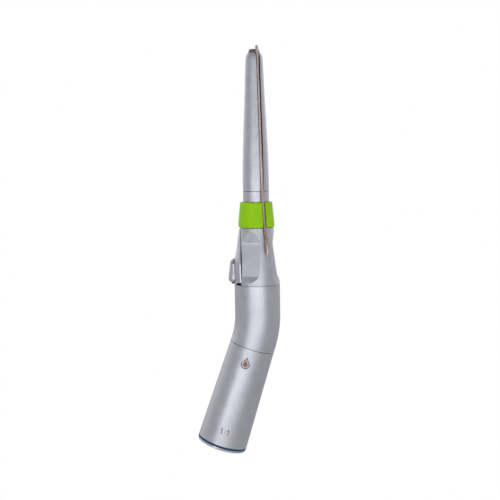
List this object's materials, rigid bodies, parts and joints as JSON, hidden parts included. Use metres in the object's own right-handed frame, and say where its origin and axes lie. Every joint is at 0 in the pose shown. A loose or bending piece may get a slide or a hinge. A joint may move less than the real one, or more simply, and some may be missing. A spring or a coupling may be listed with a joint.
{
  "type": "angled surgical handpiece",
  "caption": "Slim angled surgical handpiece with a long tapered nose, flip lever chuck, irrigation tube, colour-coded collar and a motor socket at the rear.",
  "frame": {"origin": "centre of the motor socket's mouth, in the rear face", "axes": "+Z along the nose towards the bur end; the rear section leans 18 degrees towards -X, the chuck lever's side; +Y completes the set"},
  "size_m": [0.0338, 0.02, 0.162],
  "materials": {
    "satin_steel": "bead blasted satin",
    "dark_steel": "dark bead blasted",
    "bright_steel": "polished",
    "tube_steel": "drawn, reddish tint",
    "green_plastic": "satin moulded",
    "blue_ring": "blue anodised",
    "bearing_steel": "ground",
    "gear_steel": "hardened and ground",
    "spring_steel": "drawn wire",
    "bronze": "turned",
    "cage_resin": "moulded phenolic",
    "seal_rubber": "smooth"
  },
  "bodies": {
    "housing": {"nose_sleeve": "satin_steel", "tip_cap": "dark_steel", "tip_bush": "bronze", "nose_base_ring": "satin_steel", "colour_collar": "green_plastic", "cone_housing": "satin_steel", "elbow_housing": "satin_steel", "rear_sleeve": "satin_steel", "ratio_ring": "blue_ring", "coupling_insert": "bright_steel", "irrigation_tube": "tube_steel", "lever_pin": "bright_steel", "lower_guide_tube": "gear_steel", "upper_guide_tube": "gear_steel", "nose_o_ring": "seal_rubber", "elbow_o_ring": "seal_rubber", "rear_o_ring": "seal_rubber", "front_bearing_nut": "bright_steel", "preload_washer": "spring_steel", "knee_bearing_carrier": "gear_steel", "rear_bearing_carrier": "gear_steel", "bearing_retaining_ring": "spring_steel", "nose_bearing_outer_race": "bearing_steel", "front_bearing_outer_race": "bearing_steel", "knee_bearing_outer_race": "bearing_steel", "rear_bearing_1_outer_race": "bearing_steel", "rear_bearing_2_outer_race": "bearing_steel"},
    "lever": {"chuck_lever": "satin_steel"},
    "release": {"release_ring": "bronze"},
    "front_spindle": {"front_spindle": "gear_steel", "front_bevel_gear": "gear_steel", "front_bearing_inner_race": "bearing_steel", "knee_bearing_inner_race": "bearing_steel", "spring_seat": "gear_steel", "collet_spring": "spring_steel"},
    "collet": {"collet": "gear_steel", "thrust_collar": "gear_steel", "collet_pin": "bearing_steel"},
    "rear_spindle": {"rear_spindle": "gear_steel", "rear_bevel_gear": "gear_steel", "rear_bearing_1_inner_race": "bearing_steel", "rear_bearing_2_inner_race": "bearing_steel", "dog_spring": "spring_steel"},
    "drive_dog": {"drive_dog": "gear_steel", "dog_pin": "bearing_steel"},
    "nose_race": {"nose_bearing_inner_race": "bearing_steel"},
    "nose_bearing_rollers": {"nose_bearing_balls": "bearing_steel", "nose_bearing_cage": "cage_resin"},
    "front_bearing_rollers": {"front_bearing_balls": "bearing_steel", "front_bearing_cage": "cage_resin"},
    "knee_bearing_rollers": {"knee_bearing_balls": "bearing_steel", "knee_bearing_cage": "cage_resin"},
    "rear_bearing_1_rollers": {"rear_bearing_1_balls": "bearing_steel", "rear_bearing_1_cage": "cage_resin"},
    "rear_bearing_2_rollers": {"rear_bearing_2_balls": "bearing_steel", "rear_bearing_2_cage": "cage_resin"}
  },
  "joints": [
    {"name": "lever_pivot", "type": "hinge", "parent": "housing", "child": "lever", "pos_m": [0.0095, 0, 0.08731], "axis": [0, 1, 0], "range_deg": [0, 45]},
    {"name": "release_slide", "type": "slide", "parent": "housing", "child": "release", "axis": [0, 0, -1], "range_m": [0, 0.00146]},
    {"name": "front_spindle_spin", "type": "hinge", "parent": "housing", "child": "front_spindle", "pos_m": [0.0154, 0, 0.04741], "axis": [0, 0, 1], "continuous": true},
    {"name": "collet_slide", "type": "slide", "parent": "front_spindle", "child": "collet", "axis": [0, 0, -1], "range_m": [0, 0.00128], "deforming": ["collet_spring"]},
    {"name": "rear_spindle_spin", "type": "hinge", "parent": "housing", "child": "rear_spindle", "pos_m": [0.0154, 0, 0.04741], "axis": [0.309, 0, 0.9511], "continuous": true},
    {"name": "drive_dog_slide", "type": "slide", "parent": "rear_spindle", "child": "drive_dog", "axis": [0.309, 0, 0.9511], "range_m": [0, 0.0015], "stiffness_N_per_m": 300, "springref_m": -0.002, "deforming": ["dog_spring"]},
    {"name": "nose_race_spin", "type": "hinge", "parent": "housing", "child": "nose_race", "pos_m": [0.0154, 0, 0.12651], "axis": [0, 0, 1], "continuous": true},
    {"name": "nose_bearing_rollers_spin", "type": "hinge", "parent": "housing", "child": "nose_bearing_rollers", "pos_m": [0.0154, 0, 0.12651], "axis": [0, 0, 1], "continuous": true},
    {"name": "front_bearing_rollers_spin", "type": "hinge", "parent": "housing", "child": "front_bearing_rollers", "pos_m": [0.0154, 0, 0.08956], "axis": [0, 0, 1], "continuous": true},
    {"name": "knee_bearing_rollers_spin", "type": "hinge", "parent": "housing", "child": "knee_bearing_rollers", "pos_m": [0.0154, 0, 0.05396], "axis": [0, 0, 1], "continuous": true},
    {"name": "rear_bearing_1_rollers_spin", "type": "hinge", "parent": "housing", "child": "rear_bearing_1_rollers", "pos_m": [0.01337, 0, 0.04113], "axis": [0.309, 0, 0.9511], "continuous": true},
    {"name": "rear_bearing_2_rollers_spin", "type": "hinge", "parent": "housing", "child": "rear_bearing_2_rollers", "pos_m": [0.01102, 0, 0.0339], "axis": [0.309, 0, 0.9511], "continuous": true}
  ],
  "couplings": [
    {"joint": "release_slide", "follows": "lever_pivot", "m_per_rad": 0.00185},
    {"joint": "collet_slide", "follows": "lever_pivot", "m_per_rad": 0.00162},
    {"joint": "rear_spindle_spin", "follows": "front_spindle_spin", "ratio": 1},
    {"joint": "nose_bearing_rollers_spin", "follows": "nose_race_spin", "ratio": 0.4},
    {"joint": "front_bearing_rollers_spin", "follows": "front_spindle_spin", "ratio": 0.43077},
    {"joint": "knee_bearing_rollers_spin", "follows": "front_spindle_spin", "ratio": 0.39231},
    {"joint": "rear_bearing_1_rollers_spin", "follows": "front_spindle_spin", "ratio": 0.39231},
    {"joint": "rear_bearing_2_rollers_spin", "follows": "front_spindle_spin", "ratio": 0.39231}
  ]
}
